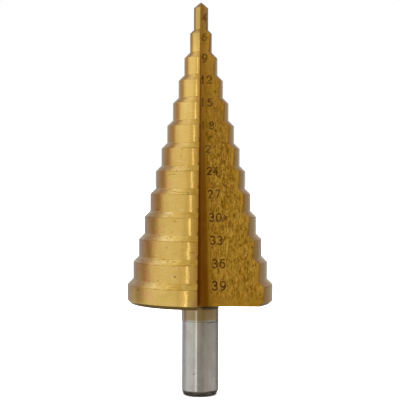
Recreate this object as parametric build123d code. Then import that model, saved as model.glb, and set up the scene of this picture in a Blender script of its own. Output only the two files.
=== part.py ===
from build123d import *
import math
import os

# Step drill: a stepped cone of thirteen cutting diameters on a round shank with three driving flats.
# Frame: +Z runs along the axis from the shank end (z = 0) to the point; the two straight rake faces lie in the plane x = 0,
# and the flute nearest -Y opens towards -Y and +X. All sizes in millimetres.

# ---- shank ----
shank_radius = 5.0
shank_length = 24.75          # from the end face to the underside of the cone
neck_fillet = 1.0             # radius in the corner between the shank and the cone
end_chamfer_radial = 0.7
end_chamfer_axial = 1.4
flat_distance = 4.6           # from the axis to each driving flat
flat_top = 20.0               # height at which the flats run out
flat_directions = (41.0, 161.0, 281.0)   # degrees from -Y, turning towards +X

# ---- stepped cone ----
pilot_diameter = 4.0
step_diameters = (6.0, 9.0, 12.0, 15.0, 18.0, 21.0, 24.0, 27.0, 30.0, 33.0, 36.0, 39.0)
step_pitch = 6.0              # axial distance from one cutting shoulder to the next
last_land = 6.5               # axial length of the widest step, its shoulder included
base_chamfer = 0.8
point_angle = 108.0           # included angle of the pilot point
pilot_length = 7.3            # from the first shoulder to the tip
land_relief = 0.10            # drop of a land a quarter turn behind its cutting edge

# ---- flutes ----
# Each flute is a straight right-angled notch. Its floor slopes with the cone: the distance from the axis to the floor
# grows steadily from the tip to the base, and so does the radius in its root.
floor_at_first_shoulder = 1.22
floor_slope = 0.1185          # millimetres of floor distance per millimetre of height
root_at_first_shoulder = 0.44
root_slope = 0.0358

body_bottom = shank_length
first_shoulder = body_bottom + last_land + step_pitch * (len(step_diameters) - 1)
tip = first_shoulder + pilot_length


def cone_profile(relief):
    """Half section of the stepped cone, its radii reduced by the relief."""
    points = [(0.0, body_bottom)]
    widest = step_diameters[-1] / 2 - relief
    points.append((widest - base_chamfer, body_bottom))
    points.append((widest, body_bottom + base_chamfer))
    diameters = (pilot_diameter,) + step_diameters
    for i in range(len(diameters) - 1, 0, -1):
        shoulder = first_shoulder - step_pitch * (i - 1)
        large = diameters[i] / 2 - relief
        small = diameters[i - 1] / 2 - relief
        points.append((large, shoulder - (large - small)))
        points.append((small, shoulder))
    pilot = pilot_diameter / 2 - relief
    points.append((pilot, tip - pilot / math.tan(math.radians(point_angle / 2))))
    points.append((0.0, tip))
    return points


def half_cone(side):
    """One land side: the cone turned about an axis moved towards its own cutting edge, kept on its side of x = 0."""
    profile = make_face(Polyline(*[(r, 0, z) for r, z in cone_profile(land_relief)], close=True))
    turned = revolve(profile, Axis.Z, 360)
    turned = turned.moved(Location((0, side * land_relief, 0)))
    keep = Pos(side * 30, 0, 60) * Box(60, 80, 140)
    return turned & keep


def floor_distance(z):
    return floor_at_first_shoulder + floor_slope * (first_shoulder - z)


def root_radius(z):
    return root_at_first_shoulder + root_slope * (first_shoulder - z)


def notch_section(z):
    """Section of the material that one flute takes away, at a height."""
    q = floor_distance(z)
    r = root_radius(z)
    reach = 32.0
    start = (0, -q - r, z)
    middle = (r * (1 - math.cos(math.pi / 4)), -q - r * (1 - math.sin(math.pi / 4)), z)
    end = (r, -q, z)
    edges = [
        ThreePointArc(start, middle, end),
        Line(end, (reach, -q, z)),
        Line((reach, -q, z), (reach, -reach, z)),
        Line((reach, -reach, z), (0, -reach, z)),
        Line((0, -reach, z), start),
    ]
    return Wire(edges)


flute = Solid.make_loft([notch_section(body_bottom - 2.0), notch_section(tip + 1.0)], True)

cone = half_cone(1) + half_cone(-1)
cone = cone - flute
cone = cone - flute.rotate(Axis.Z, 180)

# Shank, with its end chamfer and its neck fillet, carried a little way into the cone.
end_radius = shank_radius - end_chamfer_radial
neck_outer = shank_radius + neck_fillet
neck_middle = neck_fillet * (1 - math.cos(math.pi / 4))
shank_outline = [
    Line((0, 0, 0), (end_radius, 0, 0)),
    Line((end_radius, 0, 0), (shank_radius, 0, end_chamfer_axial)),
    Line((shank_radius, 0, end_chamfer_axial), (shank_radius, 0, body_bottom - neck_fillet)),
    ThreePointArc(
        (shank_radius, 0, body_bottom - neck_fillet),
        (shank_radius + neck_middle, 0, body_bottom - neck_middle),
        (neck_outer, 0, body_bottom)),
    Line((neck_outer, 0, body_bottom), (neck_outer, 0, body_bottom + 3.0)),
    Line((neck_outer, 0, body_bottom + 3.0), (0, 0, body_bottom + 3.0)),
    Line((0, 0, body_bottom + 3.0), (0, 0, 0)),
]
shank = revolve(make_face(Wire(shank_outline)), Axis.Z, 360)

# Driving flats: each cutter's top is sloped, so that the flat runs out at an angle.
for direction in flat_directions:
    runout = shank_radius + 2.0 - flat_distance
    section = make_face(Polyline(
        (0, -flat_distance, -1), (0, -flat_distance, flat_top - 0.4), (0, -flat_distance - runout, flat_top - 0.4 + runout),
        (0, -flat_distance - runout, -1), close=True))
    cutter = extrude(section, 8, both=True, dir=(1, 0, 0))
    shank = shank - cutter.rotate(Axis.Z, direction)

drill = cone + shank
drill = drill.clean() if hasattr(drill, "clean") else drill

os.makedirs("parts", exist_ok=True)
export_step(drill, "parts/drill.step")
print("volume", round(drill.volume, 1), "solids", len(drill.solids()), "valid", drill.is_valid)
print("bounds", drill.bounding_box())
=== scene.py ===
import math

import bpy
import numpy as np
from mathutils import Matrix, Vector


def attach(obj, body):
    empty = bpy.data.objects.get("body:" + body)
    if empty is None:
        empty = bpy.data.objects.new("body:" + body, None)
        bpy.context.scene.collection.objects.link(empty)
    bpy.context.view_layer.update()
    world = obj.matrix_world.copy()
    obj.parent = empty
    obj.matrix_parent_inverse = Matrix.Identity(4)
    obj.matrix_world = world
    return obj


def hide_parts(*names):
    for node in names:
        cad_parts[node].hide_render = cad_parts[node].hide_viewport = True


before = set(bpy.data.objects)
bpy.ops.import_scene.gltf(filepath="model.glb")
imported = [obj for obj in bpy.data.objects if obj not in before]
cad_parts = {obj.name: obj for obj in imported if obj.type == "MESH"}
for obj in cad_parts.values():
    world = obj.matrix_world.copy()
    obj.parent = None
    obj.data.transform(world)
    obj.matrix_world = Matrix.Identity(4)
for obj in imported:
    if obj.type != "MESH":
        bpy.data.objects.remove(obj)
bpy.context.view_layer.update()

MM = 0.001
scene = bpy.context.scene

# ------------------------------------------------------------------ sizes, in millimetres
BASE_Z = 24.75                 # underside of the stepped cone
LAST_LAND = 6.5
PITCH = 6.0
DIAMETERS = [4.0, 6.0, 9.0, 12.0, 15.0, 18.0, 21.0, 24.0, 27.0, 30.0, 33.0, 36.0, 39.0]
FIRST_SHOULDER = BASE_Z + LAST_LAND + PITCH * 11
TIP_Z = FIRST_SHOULDER + 7.3
BASE_CHAMFER = 0.8
HALF_POINT = math.radians(54.0)
SHANK_R = 5.0
FLAT_D = 4.6
FLAT_TOP = 20.0
NECK = 1.0                     # fillet between the shank and the cone
FLAT_AT = (41.0, 161.0, 281.0)


def floor_distance(z):
    return 1.22 + 0.1185 * (FIRST_SHOULDER - z)


def root_radius(z):
    return 0.44 + 0.0358 * (FIRST_SHOULDER - z)


def smooth(x, a, b):
    t = min(max((x - a) / (b - a), 0.0), 1.0)
    return t * t * (3 - 2 * t)


# ------------------------------------------------------------------ profile of the cone
LIFT = 0.09                    # the ground shoulders sit a hair high of nominal


def cone_profile():
    """Rings from the underside to the tip: z, radius, distance to the nearest inner corner, to the nearest outer corner, bevel or not."""
    pts = [(BASE_Z, DIAMETERS[-1] / 2 - BASE_CHAMFER, 0.0), (BASE_Z + BASE_CHAMFER, DIAMETERS[-1] / 2, 0.22)]
    inner, outer = [], []
    for i in range(12, 0, -1):
        shoulder = FIRST_SHOULDER - PITCH * (i - 1)
        large, small = DIAMETERS[i] / 2, DIAMETERS[i - 1] / 2
        pts.append((shoulder - (large - small), large, 0.06))
        pts.append((shoulder, small, 0.12))
        outer.append(shoulder - (large - small))
        inner.append(shoulder)
    pts.append((TIP_Z - 2.0 / math.tan(HALF_POINT), 2.0, 0.04))
    pts.append((TIP_Z, 0.0, 0.0))
    out = []
    for k, (z, r, t) in enumerate(pts):
        if t == 0.0:
            out.append((z, r))
            continue
        p = np.array([z, r])
        a = np.array(pts[k - 1][:2]) - p
        b = np.array(pts[k + 1][:2]) - p
        la, lb = np.linalg.norm(a), np.linalg.norm(b)
        a, b = a / la, b / lb
        hold = min(0.05, 0.2 * la, 0.2 * lb)
        out.append(tuple(p + a * (t + hold)))
        for u in (0.0, 0.33, 0.67, 1.0):
            q = p + a * t * (1 - u) ** 2 + b * t * u * u
            out.append((q[0], q[1]))
        out.append(tuple(p + b * (t + hold)))
    rings = [out[0]]
    for (z0, r0), (z1, r1) in zip(out, out[1:]):
        n = max(1, int(math.ceil(math.hypot(z1 - z0, r1 - r0) / 0.5)))
        for j in range(1, n + 1):
            u = j / n
            rings.append((z0 + (z1 - z0) * u, r0 + (r1 - r0) * u))
    rings.pop()                    # the tip itself is a single point
    full = []
    for z, r in rings:
        near_in = min(abs(z - s) for s in inner)
        near_out = min(abs(z - s) for s in outer)
        bevel = 1.0 if any(o + 0.03 < z < s - 0.03 for s, o in zip(inner, outer)) else 0.0
        full.append((z, r, near_in, near_out, bevel))
    return full


N_LAND, N_FLOOR, N_ROOT, N_RAKE = 60, 26, 9, 8
EDGE = 0.035


def half_ring(zk, rk):
    """Half of a section: from one cutting edge round its land, across the floor of the other flute, up its rake face."""
    shift = 0.11 * smooth(rk, 0.0, 2.0)
    drop = 0.0015 * smooth(zk, BASE_Z + 1.2, BASE_Z + 3.0) * smooth(rk, 0.5, 3.0)
    zk = zk + LIFT * smooth(zk, BASE_Z + 0.8, BASE_Z + 4.0) * smooth(rk, 1.9, 2.4)

    def radius(a):
        return max(rk - shift * (1 - math.cos(a)), 0.004)

    def level(a):
        return zk - drop * math.degrees(a)

    def gap(t):
        a = math.pi - t
        return radius(a) * math.cos(t) - floor_distance(level(a))

    if gap(0.0) > 0:
        lo, hi = 0.0, math.pi / 2
        for _ in range(50):
            mid = (lo + hi) / 2
            if gap(mid) > 0:
                lo = mid
            else:
                hi = mid
        heel = lo
    else:
        heel = 0.02
    a_heel = math.pi - heel
    e = min(EDGE, rk * 0.03)
    pts, kinds = [], []
    a0, a1 = e / rk, a_heel - e / max(radius(a_heel), 0.01)
    for j in range(N_LAND):
        a = a0 + (a1 - a0) * j / (N_LAND - 1)
        pts.append((radius(a) * math.sin(a), radius(a) * math.cos(a), level(a)))
    q, f = floor_distance(level(a_heel)), root_radius(zk)
    x_heel = radius(a_heel) * math.sin(heel)
    f = min(f, 0.9 * max(x_heel, 0.02))
    z_heel = level(a_heel)
    start = x_heel - e
    corner = np.array([x_heel, -q, z_heel])
    last = np.array(pts[-1])
    first = np.array([start, -q, z_heel])
    pts.append(tuple(0.25 * last + 0.5 * corner + 0.25 * first))
    span = max(start - f, 1e-4)
    for j in range(N_FLOOR):
        u = j / (N_FLOOR - 1)
        x = start - span * u
        z = z_heel + (zk - z_heel) * (u * (start - f) / max(start, 1e-4) if start > f else u)
        pts.append((x, -floor_distance(z), z))
    z_root0 = pts[-1][2]
    for j in range(1, N_ROOT + 1):
        t = math.pi / 2 * j / N_ROOT
        z = z_root0 + (zk - z_root0) * j / N_ROOT
        q = floor_distance(z)
        pts.append((f * (1 - math.sin(t)), -q - f * (1 - math.cos(t)), z))
    low = -pts[-1][1]
    back = radius(math.pi)
    if low > back:
        low = back
    top = rk - e
    if top < low:
        low = top - 1e-4
    for j in range(1, N_RAKE + 1):
        u = j / N_RAKE
        pts.append((0.0, -(low + (top - low) * u), zk))
    pts.append((-0.0 - e * 0.15, -(rk - e * 0.15), zk))
    out = []
    for k, p in enumerate(pts):
        x, y, z = p
        if N_LAND <= k <= N_LAND + N_FLOOR + N_ROOT:
            d = math.hypot(x, y)
            t = math.atan2(x, -y)
            limit = radius(math.pi - t)
            if d > limit:
                x, y = x * limit / d, y * limit / d
        out.append((x, y, z))
    return out


def ring(zk, rk):
    half = half_ring(zk, rk)
    return half + [(-x, -y, z) for x, y, z in half]


HALF = len(half_ring(60.0, 11.0))
FULL = 2 * HALF


# ------------------------------------------------------------------ the mesh
verts, faces, mats = [], [], []
LAND, FLUTE, ROOT, RAKE, UNDER, SHANK = 0, 1, 2, 3, 4, 5


def kind_of(j):
    """Which surface the strip between ring points j and j + 1 belongs to."""
    j = j % HALF
    if j < N_LAND:
        return LAND
    if j < N_LAND + N_FLOOR:
        return FLUTE
    if j < N_LAND + N_FLOOR + N_ROOT:
        return ROOT
    return RAKE


profile = cone_profile()
loops, near_inner, near_outer, on_bevel, from_edge, to_heel = [], {}, {}, {}, {}, {}
for zk, rk, ni, no, bv in profile:
    loop = []
    section = ring(zk, rk)
    for j, p in enumerate(section):
        v = len(verts)
        heel = section[N_LAND + HALF * (j // HALF)]
        to_heel[v] = math.dist(p, heel)
        near_inner[v], near_outer[v], on_bevel[v] = ni, no, bv
        side = 1.0 if j < HALF else -1.0
        from_edge[v] = rk * math.atan2(side * p[0], side * p[1]) if j % HALF < N_LAND else 0.0
        loop.append(v)
        verts.append(p)
    loops.append(loop)
for a, b in zip(loops, loops[1:]):
    for j in range(FULL):
        k = (j + 1) % FULL
        faces.append((a[k], a[j], b[j], b[k]))
        mats.append(kind_of(j))
apex = len(verts)
verts.append((0.0, 0.0, TIP_Z))
for j in range(FULL):
    k = (j + 1) % FULL
    faces.append((loops[-1][k], loops[-1][j], apex))
    mats.append(LAND)

# Shank: rings from the underside of the cone to the end face.
angles = []
BETA = math.degrees(math.acos(FLAT_D / SHANK_R))
for at in FLAT_AT:
    for u in np.linspace(-1, 1, 25):
        angles.append(at + BETA * u)
    angles.append(at + BETA + 0.5)
    for u in np.linspace(0, 1, 36)[1:-1]:
        angles.append(at + BETA + 0.5 + (120 - 2 * BETA - 1.0) * u)
    angles.append(at + 120 - BETA - 0.5)
angles = sorted(a % 360.0 for a in angles)


def shank_radius(angle, z, r_round):
    r = r_round
    for at in FLAT_AT:
        d = (angle - at + 180.0) % 360.0 - 180.0
        if abs(d) < 80.0:
            flat = FLAT_D if z < FLAT_TOP - 0.4 else FLAT_D + (z - FLAT_TOP + 0.4)
            r = min(r, flat / math.cos(math.radians(d)))
    return r


shank_profile = []
for u in np.linspace(0, 1, 10):
    t = u * math.pi / 2
    shank_profile.append((BASE_Z - NECK * math.sin(t), SHANK_R + NECK * (1 - math.cos(math.pi / 2 - t))))
for z in np.linspace(BASE_Z - NECK - 0.1, FLAT_TOP + 0.1, 8):
    shank_profile.append((z, SHANK_R))
for z in np.linspace(FLAT_TOP, FLAT_TOP - 0.5, 11):
    shank_profile.append((z, SHANK_R))
for z in np.linspace(FLAT_TOP - 1.0, 1.9, 36):
    shank_profile.append((z, SHANK_R))
corner = [(1.62, 5.0), (1.52, 4.993), (1.42, 4.972), (1.33, 4.945), (1.24, 4.905)]
shank_profile += corner
for z in np.linspace(1.14, 0.26, 9):
    shank_profile.append((z, 4.3 + 0.7 * z / 1.4 - 0.015))
shank_profile += [(0.17, 4.355), (0.09, 4.29), (0.03, 4.2), (0.0, 4.1)]
shank_loops = []
for z, r_round in shank_profile:
    loop = []
    for a in angles:
        r = shank_radius(a, z, r_round)
        t = math.radians(a)
        loop.append(len(verts))
        verts.append((r * math.sin(t), -r * math.cos(t), z))
    shank_loops.append(loop)
M = len(angles)
for a, b in zip(shank_loops, shank_loops[1:]):
    for j in range(M):
        k = (j + 1) % M
        faces.append((a[j], b[j], b[k], a[k]))
        mats.append(SHANK)
end_loops = [shank_loops[-1]]
for s in (0.66, 0.33):
    loop = []
    for i in shank_loops[-1]:
        loop.append(len(verts))
        verts.append((verts[i][0] * s, verts[i][1] * s, 0.0))
    end_loops.append(loop)
for a, b in zip(end_loops, end_loops[1:]):
    for j in range(M):
        k = (j + 1) % M
        faces.append((a[j], b[j], b[k], a[k]))
        mats.append(SHANK)
centre = len(verts)
verts.append((0.0, 0.0, 0.0))
for j in range(M):
    faces.append((end_loops[-1][j], centre, end_loops[-1][(j + 1) % M]))
    mats.append(SHANK)

# Underside: zip the cone's lowest loop to the shank's top loop by angle, seen from -Y turning towards +X.
def turn(i):
    return math.degrees(math.atan2(verts[i][0], -verts[i][1])) % 360.0


inner = list(shank_loops[0])
outer = loops[0][::-1]
start = min(range(len(outer)), key=lambda j: (turn(outer[j]) + 0.001) % 360.0)
outer = outer[start:] + outer[:start]
it = [turn(i) for i in inner]
ot = [turn(i) for i in outer]
for j in range(1, len(ot)):
    if ot[j] < ot[j - 1] - 180:
        ot[j] += 360
    ot[j] = max(ot[j], ot[j - 1])
if ot[0] > 180:
    ot = [t - 360 for t in ot]
i = j = 0
while i < M or j < len(outer):
    ti = it[i + 1] if i + 1 < M else it[0] + 360
    tj = ot[j + 1] if j + 1 < len(outer) else ot[0] + 360
    if j >= len(outer) or (i < M and ti < tj):
        faces.append((outer[j % len(outer)], inner[i % M], inner[(i + 1) % M]))
        i += 1
    else:
        faces.append((outer[j % len(outer)], inner[i % M], outer[(j + 1) % len(outer)]))
        j += 1
    mats.append(UNDER)

mesh = bpy.data.meshes.new("drill_body")
mesh.from_pydata([(x * MM, y * MM, z * MM) for x, y, z in verts], [], faces)
body = bpy.data.objects.new("drill_body", mesh)
scene.collection.objects.link(body)



# ------------------------------------------------------------------ materials
class Tree:
    """Small helper for writing node trees."""

    def __init__(self, name):
        self.mat = bpy.data.materials.new(name)
        self.mat.use_nodes = True
        self.n = self.mat.node_tree.nodes
        self.l = self.mat.node_tree.links
        self.n.clear()
        self.co = self.n.new("ShaderNodeTexCoord").outputs["Object"]

    def put(self, socket, value):
        if isinstance(value, bpy.types.NodeSocket):
            self.l.new(value, socket)
        elif isinstance(value, tuple) and len(value) == 3 and socket.type == "RGBA":
            socket.default_value = (*value, 1.0)
        else:
            socket.default_value = value

    def math(self, op, a, b=None, c=None, clamp=False):
        m = self.n.new("ShaderNodeMath")
        m.operation = op
        m.use_clamp = clamp
        for k, v in enumerate((a, b, c)):
            if v is not None:
                self.put(m.inputs[k], v)
        return m.outputs[0]

    def scaled(self, sx, sy, sz, offset=(0, 0, 0), turn=0.0):
        """Object coordinates in millimetres, scaled per axis."""
        m = self.n.new("ShaderNodeMapping")
        m.inputs["Scale"].default_value = (sx * 1000, sy * 1000, sz * 1000)
        m.inputs["Location"].default_value = offset
        m.inputs["Rotation"].default_value = (0, turn, 0)
        self.l.new(self.co, m.inputs["Vector"])
        return m.outputs[0]

    def noise(self, vector, scale=1.0, detail=2.0, rough=0.5, distort=0.0):
        t = self.n.new("ShaderNodeTexNoise")
        t.inputs["Scale"].default_value = scale
        t.inputs["Detail"].default_value = detail
        t.inputs["Roughness"].default_value = rough
        t.inputs["Distortion"].default_value = distort
        self.l.new(vector, t.inputs["Vector"])
        return t.outputs["Fac"]

    def cells(self, vector, scale, feature="F1"):
        t = self.n.new("ShaderNodeTexVoronoi")
        t.feature = feature
        t.inputs["Scale"].default_value = scale
        self.l.new(vector, t.inputs["Vector"])
        return t.outputs["Distance"], t.outputs["Color"]

    def span(self, value, a, b, lo=0.0, hi=1.0, smoothed=True):
        m = self.n.new("ShaderNodeMapRange")
        m.interpolation_type = "SMOOTHSTEP" if smoothed else "LINEAR"
        self.put(m.inputs["Value"], value)
        m.inputs["From Min"].default_value = a
        m.inputs["From Max"].default_value = b
        m.inputs["To Min"].default_value = lo
        m.inputs["To Max"].default_value = hi
        return m.outputs["Result"]

    def mix(self, fac, a, b, blend="MIX"):
        m = self.n.new("ShaderNodeMix")
        m.data_type = "RGBA"
        m.blend_type = blend
        self.put(m.inputs["Factor"], fac)
        self.put(m.inputs["A"], a)
        self.put(m.inputs["B"], b)
        return m.outputs["Result"]

    def attr(self, name):
        a = self.n.new("ShaderNodeAttribute")
        a.attribute_name = name
        return a.outputs["Fac"]

    def axis(self, which):
        s = self.n.new("ShaderNodeSeparateXYZ")
        self.l.new(self.co, s.inputs[0])
        return self.math("MULTIPLY", s.outputs[which], 1000.0)

    def bump(self, height, distance, strength=1.0, normal=None):
        b = self.n.new("ShaderNodeBump")
        b.inputs["Distance"].default_value = distance
        b.inputs["Strength"].default_value = strength
        self.l.new(height, b.inputs["Height"])
        if normal is not None:
            self.l.new(normal, b.inputs["Normal"])
        return b.outputs[0]

    def finish(self, colour, rough, metallic=1.0, normal=None, coat=0.0, coat_rough=0.1, tint=None):
        out = self.n.new("ShaderNodeOutputMaterial")
        b = self.n.new("ShaderNodeBsdfPrincipled")
        self.put(b.inputs["Base Color"], colour)
        self.put(b.inputs["Roughness"], rough)
        self.put(b.inputs["Metallic"], metallic)
        b.inputs["Coat Weight"].default_value = coat
        b.inputs["Coat Roughness"].default_value = coat_rough
        if tint is not None:
            b.inputs["Specular Tint"].default_value = (*tint, 1.0)
        if normal is not None:
            self.l.new(normal, b.inputs["Normal"])
        self.l.new(b.outputs[0], out.inputs[0])
        return self.mat


GOLD_LAND = (0.86, 0.585, 0.175)
GOLD_FLOOR = (0.84, 0.52, 0.09)


def specks(t, size, density, seed):
    """Small dark pits with ragged outlines: 1 inside a pit."""
    place = t.scaled(1, 1, 1, (seed, seed * 0.7, seed * 1.3))
    ragged = t.n.new("ShaderNodeTexNoise")
    ragged.inputs["Scale"].default_value = 2.4 / size
    ragged.inputs["Detail"].default_value = 1.0
    t.l.new(place, ragged.inputs["Vector"])
    shift = t.n.new("ShaderNodeVectorMath")
    shift.operation = "MULTIPLY_ADD"
    t.l.new(ragged.outputs["Color"], shift.inputs[0])
    shift.inputs[1].default_value = (0.9 * size,) * 3
    t.l.new(place, shift.inputs[2])
    dist, colour = t.cells(shift.outputs[0], 1.0 / size)
    pick = t.n.new("ShaderNodeSeparateColor")
    t.l.new(colour, pick.inputs[0])
    chosen = t.math("LESS_THAN", pick.outputs[0], density)
    radius = t.span(pick.outputs[1], 0.0, 1.0, 0.12, 0.42, smoothed=False)
    inside = t.math("SUBTRACT", 1.0, t.math("DIVIDE", dist, radius), clamp=True)
    return t.math("MULTIPLY", chosen, t.span(inside, 0.0, 0.5))


def scratches(t, turn, along, across, seed, lo=0.70, hi=0.74):
    """Thin short lines at an angle: 1 on a line."""
    v = t.noise(t.scaled(1 / across, 1 / across, 1 / along, (seed, seed, seed), turn), 1.0, 1.0, 0.4)
    return t.span(v, lo, hi)


# Knocks and scratches on the land seen from the front: arc from its cutting edge, height, half length, half width, tilt, depth.
KNOCKS = [
    (6.95, 59.02, 0.75, 0.15, 0.22, 0.75), (8.45, 58.80, 0.75, 0.13, -0.20, 0.55), (9.87, 44.10, 0.32, 0.20, 0.3, 0.35), (7.00, 44.20, 0.30, 0.26, 0.0, 0.60),
    (7.25, 42.95, 0.36, 0.20, 0.5, 0.45), (9.10, 39.00, 0.34, 0.20, -0.5, 0.40), (9.30, 37.25, 0.34, 0.22, -0.6, 0.60), (7.95, 36.80, 0.36, 0.22, -0.6, 0.55),
    (6.20, 36.75, 0.60, 0.22, 0.2, 0.40), (5.84, 33.00, 0.44, 0.30, 0.0, 0.65), (14.0, 31.55, 0.36, 0.24, -0.4, 0.55), (10.2, 30.95, 0.32, 0.26, 0.7, 0.50),
    (10.9, 31.85, 0.45, 0.18, 0.1, 0.40), (1.45, 39.12, 0.95, 0.17, 0.12, 0.65), (18.1, 29.10, 0.85, 0.40, 0.0, 0.60), (4.84, 63.60, 0.30, 0.42, 0.2, 0.30),
    (6.00, 60.00, 0.34, 0.30, 0.3, 0.45), (6.20, 54.50, 0.45, 0.15, 0.1, 0.55), (2.80, 54.30, 0.50, 0.42, 0.0, 0.40), (12.7, 49.80, 0.90, 0.20, 0.0, 0.55),
    (6.20, 46.95, 0.50, 0.28, 0.4, 0.45), (9.60, 45.70, 0.40, 0.30, 0.2, 0.30), (1.00, 54.6, 0.30, 0.16, 0.0, 0.45), (3.2, 33.6, 0.36, 0.14, 0.3, 0.35)]
# Painted glints on the same land, given the same way: short bright gleams.
GLEAMS = [(6.9, 33.0, 1.35, 0.10, 0.85, 0.55), (5.2, 62.4, 1.1, 0.11, 0.25, 0.6), (8.9, 34.6, 0.9, 0.09, 1.1, 0.45), (9.4, 42.3, 0.8, 0.16, 0.1, 0.6),
          (9.0, 36.6, 1.0, 0.18, 0.0, 0.6), (11.8, 38.1, 0.9, 0.12, 0.0, 0.5), (8.4, 49.0, 1.5, 0.30, 0.0, 0.55), (12.6, 31.1, 1.1, 0.14, 0.0, 0.55)]


# Smears and rubbed places on the floor of the front flute: distance from the axis, height, and the rest as above.
SMEARS = [
    (2.60, 68.7, 0.60, 0.22, 0.3, 0.60), (3.70, 66.4, 0.30, 0.25, 0.0, 0.55), (2.30, 64.8, 0.28, 0.20, 0.0, 0.40), (6.20, 62.2, 0.60, 0.40, 0.4, 0.40),
    (6.60, 56.1, 0.80, 0.20, -0.7, 0.60), (4.80, 58.5, 0.80, 0.20, -0.7, 0.60), (5.50, 59.8, 0.40, 0.25, 0.9, 0.45), (3.50, 55.4, 0.32, 0.28, 0.0, 0.50),
    (5.55, 54.7, 0.40, 0.16, 0.9, 0.50), (4.30, 50.9, 0.42, 0.18, 1.5, 0.50), (6.10, 50.5, 0.42, 0.20, 1.3, 0.50), (6.70, 47.6, 0.55, 0.42, 0.9, 0.62),
    (6.05, 46.9, 0.30, 0.42, 0.0, 0.50), (6.15, 45.1, 0.32, 0.62, 0.0, 0.52), (7.90, 45.9, 0.32, 0.55, 0.0, 0.48), (9.00, 48.2, 0.50, 0.18, 1.5, 0.45),
    (8.10, 52.3, 0.45, 0.18, 1.4, 0.40), (12.1, 41.3, 0.40, 0.25, 0.2, 0.50), (7.40, 58.9, 0.5, 0.16, -0.9, 0.45), (5.9, 65.9, 0.45, 0.3, 0.2, 0.30)]
RUBBED = [
    (2.35, 63.5, 0.30, 0.32, 0.0, 0.60), (4.60, 56.5, 0.34, 0.24, 0.0, 0.60), (2.75, 38.2, 3.60, 0.14, 1.57, 0.55), (2.90, 31.0, 2.60, 0.13, 1.57, 0.50),
    (7.25, 40.3, 2.60, 0.20, 1.57, 0.60), (8.40, 43.2, 0.9, 0.22, 1.4, 0.55), (7.0, 34.6, 1.6, 0.16, 1.57, 0.55), (4.3, 35.0, 1.3, 0.14, 1.57, 0.45)]


def dashes(t, arc, z, places):
    """Short marks with ragged outlines on the front side: their depth inside them, 0 outside."""
    shake = t.noise(t.scaled(2.2, 2.2, 2.2, (3, 3, 1)), 1.0, 2.0, 0.6)
    sway = t.noise(t.scaled(1.1, 1.1, 1.1, (1, 5, 4)), 1.0, 2.0, 0.6)
    arc = t.math("MULTIPLY_ADD", shake, 0.5, t.math("SUBTRACT", arc, 0.25))
    z = t.math("MULTIPLY_ADD", sway, 0.5, t.math("SUBTRACT", z, 0.25))
    total = None
    for a, h, length, width, tilt, depth in places:
        c, s = math.cos(tilt), math.sin(tilt)
        du, dz = t.math("SUBTRACT", arc, a), t.math("SUBTRACT", z, h)
        u = t.math("MULTIPLY_ADD", du, c / length, t.math("MULTIPLY", dz, s / length))
        w = t.math("MULTIPLY_ADD", dz, c / width, t.math("MULTIPLY", du, -s / width))
        d = t.math("MULTIPLY_ADD", u, u, t.math("MULTIPLY", w, w))
        one = t.span(d, 1.1, 0.25, 0.0, depth)
        total = one if total is None else t.math("MAXIMUM", total, one)
    front = t.math("LESS_THAN", t.axis("Y"), 0.0)
    return t.math("MULTIPLY", total, front)


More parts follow.
